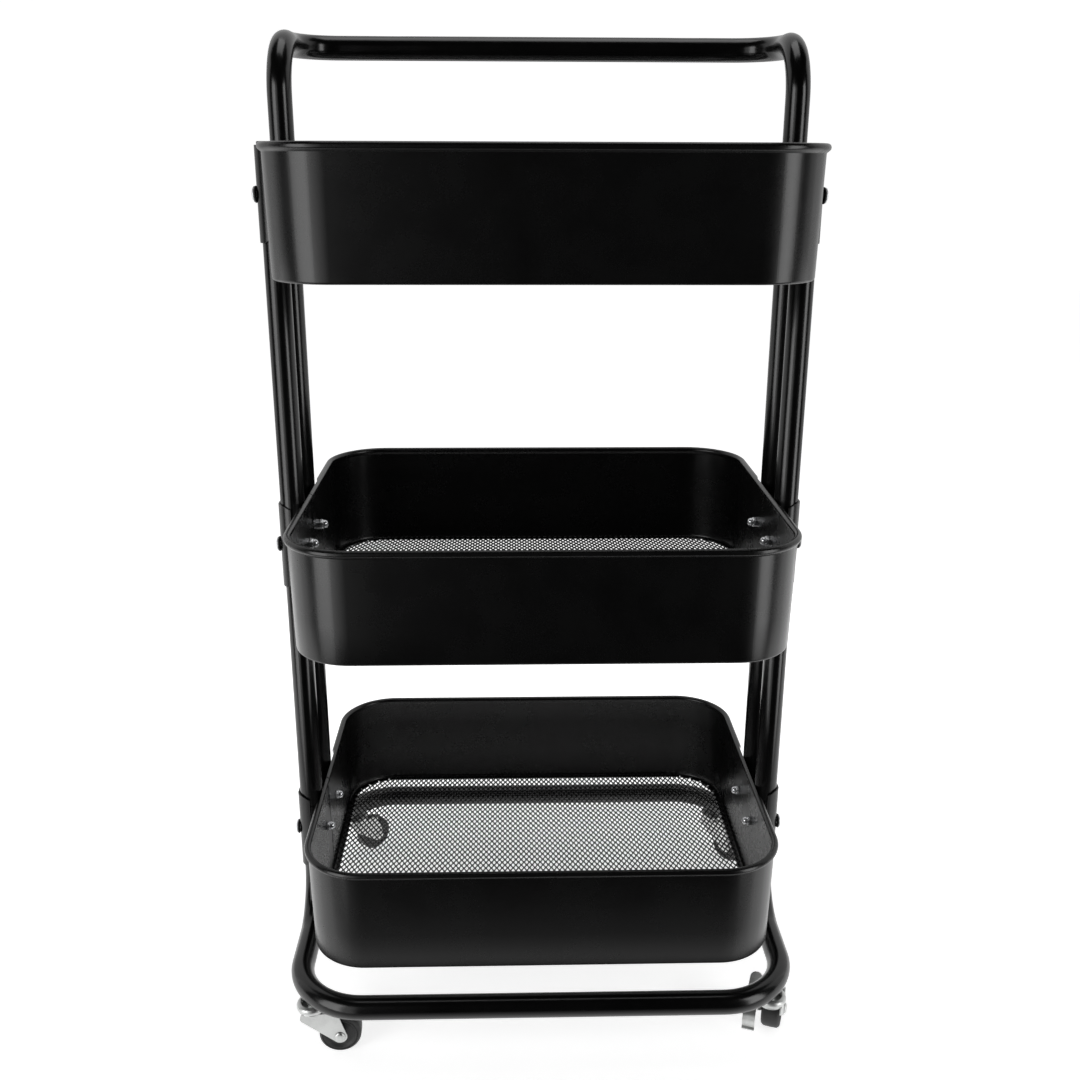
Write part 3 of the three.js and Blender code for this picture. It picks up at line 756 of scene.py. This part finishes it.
def caster_place(name):
    """The caster's own frame, its trail and its wheel radius, from the joints."""
    stem = Vector(joints[f"{name}_swivel"]["pos_m"]) / MM
    hub = Vector(joints[f"{name}_spin"]["pos_m"]) / MM
    trail = Vector((hub.x - stem.x, hub.y - stem.y))
    turn = Matrix.Rotation(math.atan2(trail.y, trail.x), 4, "Z")
    return Matrix.Translation((stem.x, stem.y, 0)) @ turn, trail.length, hub.z


def brake_pedal(trail, axle_z):
    """A cheek beside the fork with an eye round the axle, and a bent tongue over the wheel."""
    inner = FORK_IN + FORK_T + 2 * GAP
    plate = [(-4, 33.4), (4, 26)]
    plate += arc(trail, axle_z, BOSS_R, -142, 20, 18)
    plate += [(trail + 6.2, 30), (trail + 6, 38), (6, 35.5)]
    cheek = slab(list(reversed(plate)), inner, inner + LEVER_T, "y")
    verts = []
    for i, (x, z) in enumerate(TONGUE):
        wide = LEVER_W / 2
        if x > TONGUE_ROUND_X:
            wide = math.sqrt(max(0.0, wide * wide - (x - TONGUE_ROUND_X) ** 2))
        mid = inner + LEVER_W / 2
        low_edge = mid - wide if x > TONGUE_ROUND_X else inner
        curl = 0.18 if i in (0, 1) else 0.0
        for y, drop in ((low_edge, LEVER_T), (mid + wide, LEVER_T), (mid + wide, 0), (low_edge, 0)):
            verts.append((x + curl + (0.3 if drop else 0), y, z - drop))
    n = len(TONGUE)
    faces = grid_faces(n, 4)
    faces.append((3, 2, 1, 0))
    faces.append(tuple(4 * (n - 1) + k for k in (0, 1, 2, 3)))
    return merge([cheek, (verts, [tuple(reversed(f)) for f in faces])])


def caster_pieces(name):
    place, trail, axle_z = caster_place(name)
    lo, hi = box_mm(f"{name}_caster_stem")
    low, cup_r, top = lo.z, (hi.x - lo.x) / 2, hi.z
    lo, hi = box_mm(f"{name}_caster_wheel")
    wheel_r = axle_z - lo.z
    cup_z = low + CUP_LIFT
    cup_top = cup_z + CUP_H
    crown_low = cup_z - CROWN_DROP

    race = [(0, low), (4.6, low), (5, low + 0.4), (5, low + 2.1), (3.2, low + 2.1), (3.2, cup_z),
            (cup_r - 1.2, cup_z), (cup_r - 0.35, cup_z + 0.35), (cup_r, cup_z + 1.2),
            (cup_r, cup_top - 2.6), (cup_r - 0.5, cup_top - 1.2), (cup_r - 1.9, cup_top - 0.25),
            (cup_r - 3.6, cup_top),
            (cup_r - 4.2, cup_top - 0.5), (cup_r - 4.8, cup_top - 3), (4, cup_top - 3), (4, top - 0.6),
            (3.4, top), (0, top)]
    verts, faces = lathe(race, 56)
    piece(f"{name}_caster_race", verts, faces, "root", "caster_zinc", [f"{name}_caster_stem"], place=place)

    crown_top = cup_z - GAP
    crown = lathe([(3.5, crown_low), (CROWN_R - 0.6, crown_low), (CROWN_R, crown_low + 0.5),
                   (CROWN_R - 0.2, crown_top), (3.5, crown_top), (3.5, crown_low)], 56)
    cheek = [(-8, crown_top), (-9.4, crown_top - 1.6), (-10, 37.6), (-9.2, 35.4)]
    cheek += arc(trail, axle_z, BOSS_R, -138, 8, 18)
    cheek += [(trail + 2.8, 29), (trail + 0.6, 36), (trail - 0.5, 39.2), (trail - 1.2, 40.6),
              (trail - 3, crown_top)]
    cheeks = [slab(list(reversed(cheek)), y, y + FORK_T, "y") for y in (-FORK_IN - FORK_T, FORK_IN)]
    verts, faces = merge([crown, *cheeks])
    piece(f"{name}_caster_yoke", verts, faces, f"{name}_fork", "caster_zinc", [f"{name}_caster_fork"],
          bevel=0.3, place=place)

    hub_place = place @ Matrix.Translation((trail, 0, axle_z))
    near = -FORK_IN - FORK_T - GAP
    far = FORK_IN + FORK_T + GAP + (LEVER_T + 2 * GAP if name in BRAKED else 0)
    rivet = [(0, near - 1.6), (2.4, near - 1.55), (3.8, near - 1.15), (4.6, near - 0.35), (4.7, near),
             (AXLE_R, near), (AXLE_R, far), (4.7, far), (4.6, far + 0.35), (3.8, far + 1.15),
             (2.4, far + 1.55), (0, far + 1.6)]
    verts, faces = lathe(rivet, 40, "y")
    piece(f"{name}_caster_rivet", verts, faces, f"{name}_fork", "caster_zinc", [f"{name}_caster_axle"],
          place=hub_place, crease=60)

    half = WHEEL_W / 2
    ring = [(AXLE_R + GAP, half + 0.6), (5.5, half + 0.6), (5.5, half - 1.8), (6.2, half - 2.2),
            (11.2, half - 2.2), (11.8, half - 1.9), (13.2, half - 0.25), (13.7, half),
            (14.3, half), (14.5, half - 0.5), (14.9, half - 0.5), (15.1, half),
            (wheel_r - 2.1, half), (wheel_r - 1.15, half - 0.95), (wheel_r - 0.5, half - 1.7),
            (wheel_r - 0.15, half - 2.7)]
    profile = ring + [(wheel_r, 0.6), (wheel_r, -0.6)] + [(r, -y) for r, y in reversed(ring)] + [ring[0]]
    verts, faces = lathe(list(reversed(profile)), 72, "y")
    piece(f"{name}_caster_tyre", verts, faces, f"{name}_wheel", "wheel_plastic", [f"{name}_caster_wheel"],
          place=hub_place, crease=30)

    if name in BRAKED:
        verts, faces = brake_pedal(trail, axle_z)
        piece(f"{name}_brake_pedal", verts, faces, f"{name}_lever", "caster_zinc", [f"{name}_brake_lever"],
              bevel=0.25, place=place)


for caster in CASTERS:
    caster_pieces(caster)


# ---- stage, light and camera ---------------------------------------------------------------
def stage_material(name, colour, glow, painted_shades=()):
    """A faintly uneven pale surface that glows. The shades given are (y in metres, share of the colour)
    along it: painted shade, darkening both its colour and its glow along y for the fall-off of the studio
    light.
    """
    g = Graph(name)
    tint = g.ramp(g.noise(3.0, 3.0), ((0.3, tuple(c * 0.985 for c in colour)), (0.8, colour)))
    if painted_shades:
        split = g.tree.nodes.new("ShaderNodeSeparateXYZ")
        g.link(g.coords, split.inputs["Vector"])
        first, last = painted_shades[0][0], painted_shades[-1][0]
        along = g.tree.nodes.new("ShaderNodeMapRange")
        along.inputs["From Min"].default_value = first
        along.inputs["From Max"].default_value = last
        g.link(split.outputs["Y"], along.inputs["Value"])
        shade = g.ramp(along.outputs["Result"],
                       tuple(((y - first) / (last - first), (share,) * 3) for y, share in painted_shades))
        mix = g.tree.nodes.new("ShaderNodeMix")
        mix.data_type = "RGBA"
        mix.blend_type = "MULTIPLY"
        mix.inputs[0].default_value = 1.0
        g.link(tint, mix.inputs[6])
        g.link(shade, mix.inputs[7])
        tint = mix.outputs[2]
    g.colour(tint)
    g.link(tint, g.shader.inputs["Emission Color"])
    g.set(Roughness=0.7, Emission_Strength=glow)
    return g.mat


def stage_object(name, verts, faces, material, camera_only=False):
    mesh = bpy.data.meshes.new(name)
    mesh.from_pydata(verts, [], faces)
    mesh.shade_smooth()
    mesh.materials.append(material)
    obj = bpy.data.objects.new(name, mesh)
    bpy.context.scene.collection.objects.link(obj)
    if camera_only:
        obj.visible_diffuse = False
        obj.visible_glossy = False
        obj.visible_transmission = False
        obj.visible_volume_scatter = False
        obj.visible_shadow = False
    return obj


FLOOR_FRONT = -0.34
FLOOR_SPLIT = -0.2  # the fading strip ahead of this shows only in reflections
FLOOR_BACK = 0.95
FLOOR_SIDE = 3.0
# Painted light and shade: the floor glows, and its colour and glow are painted darker towards its front
# edge for the fall-off of the studio light, which the lower baskets reflect.
FLOOR_PAINTED_SHADES = ((FLOOR_FRONT, 0.1), (-0.27, 0.22), (FLOOR_SPLIT, 0.8), (0.2, 0.86), (FLOOR_BACK, 1.0))
APRON = 6.0
APRON_Z = -0.001
DOME_R = 9000.0  # mm
FLOOR_WHITE = stage_material("floor_white", (0.96, 0.96, 0.96), 0.95, FLOOR_PAINTED_SHADES)


def floor_sheet(name, side, front, back, height, material, camera_only=False):
    corners = [(-side, front, height), (side, front, height),
               (side, back, height), (-side, back, height)]
    return stage_object(name, corners, [(0, 1, 2, 3)], material, camera_only)


floor_sheet("floor", FLOOR_SIDE, FLOOR_SPLIT, FLOOR_BACK, 0, FLOOR_WHITE)
floor_sheet("floor_fade", FLOOR_SIDE, FLOOR_FRONT, FLOOR_SPLIT, 0, FLOOR_WHITE).visible_camera = False
floor_sheet("floor_apron", APRON, -APRON, APRON, APRON_Z,
            stage_material("apron_white", (1.0, 1.0, 1.0), 1.0), camera_only=True)
arch = arc(0, 0, DOME_R, -80, 80, 16)
dome_verts, dome_faces = lathe([(0, -DOME_R), *arch, (0, DOME_R)], 36)
stage_object("backdrop", [Vector(v) * MM for v in dome_verts], dome_faces,
             stage_material("backdrop_white", (1.0, 1.0, 1.0), 1.0), camera_only=True)


def soft_light(name, spot, target, width, height, radiance):
    """A rectangular softbox of an even radiance, out of the camera's sight."""
    data = bpy.data.lights.new(name, "AREA")
    data.shape = "RECTANGLE"
    data.size = width
    data.size_y = height
    data.energy = radiance * math.pi * width * height
    obj = bpy.data.objects.new(name, data)
    obj.location = spot
    obj.rotation_euler = (Vector(target) - Vector(spot)).to_track_quat("-Z", "Y").to_euler()
    bpy.context.scene.collection.objects.link(obj)
    obj.visible_camera = False


LIGHTS = (  # name, place, target, width, height, radiance
    ("left_softbox", (-1.32, -1.11, 0.6), (0, 0, 0.6), 0.8, 1.8, 3.4),
    ("left_softbox_foot", (-1.32, -1.11, -0.55), (0, 0, -0.55), 0.8, 0.5, 1.9),
    ("left_fill", (-0.95, -1.6, 0.45), (0, 0, 0.45), 0.8, 2.2, 1.0),
    ("right_softbox", (1.40, -1.06, 0.6), (0, 0, 0.6), 0.62, 1.8, 3.8),
    ("right_softbox_foot", (1.40, -1.06, -0.55), (0, 0, -0.55), 0.62, 0.5, 2.2),
    ("back_wall", (0.0, 0.95, 1.3), (0, 0, 1.3), 6.0, 2.6, 0.7),
    ("left_wall", (-2.6, 0.42, 1.3), (0, 0.42, 1.3), 1.0, 2.6, 0.7),
    ("right_wall", (2.6, 0.36, 1.3), (0, 0.36, 1.3), 1.1, 2.6, 0.7),
    ("top_softbox", (0.0, 0.3, 2.6), (0, 0.3, 0.0), 1.2, 1.2, 2.0),
)
for light in LIGHTS:
    soft_light(*light)

WORLD_GREY = 0.012
world = bpy.data.worlds.new("studio")
world.use_nodes = True
sky = world.node_tree.nodes["Background"]
sky.inputs["Color"].default_value = (WORLD_GREY, WORLD_GREY, WORLD_GREY, 1)
sky.inputs["Strength"].default_value = 1.0
bpy.context.scene.world = world
bpy.context.scene.view_settings.view_transform = "Standard"

CAMERA_AT = (-0.02615, -0.97959, 0.73207)
CAMERA_TILT = math.radians(71.9456)
CAMERA_TURN = -0.02703
CAMERA_ROLL = 0.00334
CAMERA_SENSOR = 36.0
CAMERA_LENS = 38.919
camera_data = bpy.data.cameras.new("camera")
camera_data.sensor_width = CAMERA_SENSOR
camera_data.lens = CAMERA_LENS
camera = bpy.data.objects.new("camera", camera_data)
camera.matrix_world = (
    Matrix.Translation(CAMERA_AT) @ Matrix.Rotation(CAMERA_TURN, 4, "Z")
    @ Matrix.Rotation(CAMERA_TILT, 4, "X") @ Matrix.Rotation(CAMERA_ROLL, 4, "Z"))
bpy.context.scene.collection.objects.link(camera)
bpy.context.scene.camera = camera
